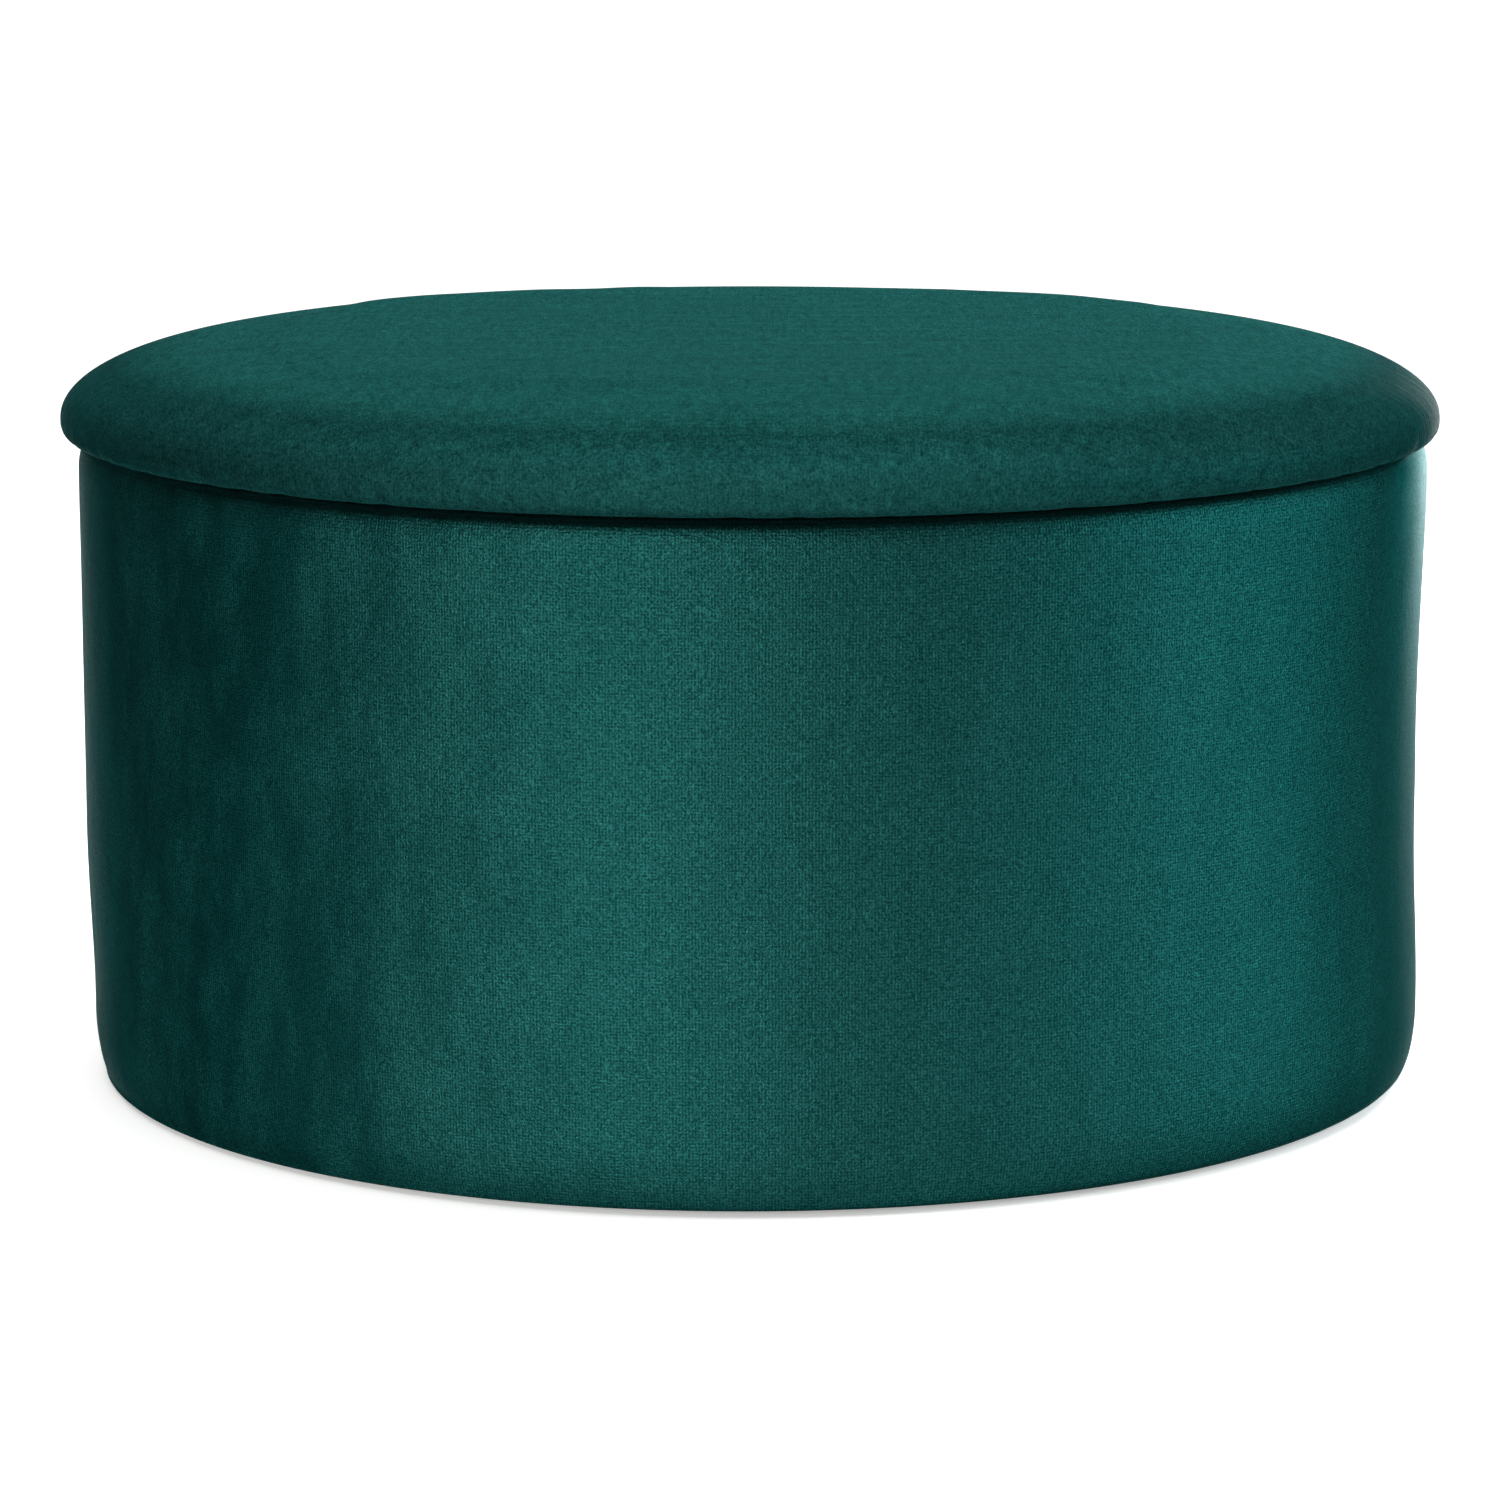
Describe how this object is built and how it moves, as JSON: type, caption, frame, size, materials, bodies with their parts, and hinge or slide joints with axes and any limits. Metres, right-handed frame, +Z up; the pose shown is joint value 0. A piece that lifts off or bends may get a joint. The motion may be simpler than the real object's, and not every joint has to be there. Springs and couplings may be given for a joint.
{
  "type": "ottoman with storage",
  "caption": "Round velvet drum ottoman with a hollow lined inside and a padded, overhanging lid that lifts off.",
  "frame": {"origin": "on the floor, under the centre of the round drum", "axes": "+Z up through the lid; the velvet sleeve's sewn seam is at the back, towards +Y; front -Y"},
  "size_m": [0.7999, 0.8, 0.43],
  "materials": {
    "velvet": "dark green-teal velvet with a short brushed pile",
    "foam": "open-cell polyurethane foam",
    "wadding": "soft polyester wadding",
    "lining": "black spunbond nonwoven",
    "dust_cloth": "thin black spunbond nonwoven",
    "softwood": "sawn pine",
    "hardboard": "smooth bent hardboard",
    "plywood": "sanded birch plywood",
    "glide_plastic": "moulded black polyethylene",
    "zinc_screws": "yellow zinc plated steel",
    "steel_wire": "galvanised steel wire"
  },
  "bodies": {
    "drum": {"base_board": "plywood", "upright_1": "softwood", "upright_2": "softwood", "upright_3": "softwood", "upright_4": "softwood", "upright_5": "softwood", "upright_6": "softwood", "upright_7": "softwood", "upright_8": "softwood", "ring_segment_1": "plywood", "ring_segment_2": "plywood", "ring_segment_3": "plywood", "ring_segment_4": "plywood", "outer_panel": "hardboard", "inner_panel": "hardboard", "wall_foam": "foam", "rim_foam": "foam", "side_cover": "velvet", "wall_lining": "lining", "floor_board": "hardboard", "floor_lining": "lining", "dust_cover": "dust_cloth", "glide_1": "glide_plastic", "glide_2": "glide_plastic", "glide_3": "glide_plastic", "glide_4": "glide_plastic", "glide_5": "glide_plastic", "glide_6": "glide_plastic", "glide_nails": "steel_wire", "base_screws": "zinc_screws", "ring_screws": "zinc_screws", "outer_panel_pins": "steel_wire", "inner_panel_pins": "steel_wire", "hem_staples": "steel_wire", "dust_cover_staples": "steel_wire"},
    "lid": {"lid_board": "plywood", "lid_foam": "foam", "lid_wadding": "wadding", "lid_cover": "velvet", "locating_disc": "plywood", "disc_cover": "lining", "disc_screws": "zinc_screws", "disc_staples": "steel_wire", "lid_staples": "steel_wire"}
  },
  "joints": [
    {"name": "lid_lift", "type": "slide", "parent": "drum", "child": "lid", "axis": [0, 0, 1], "range_m": [0, 0.36]}
  ]
}
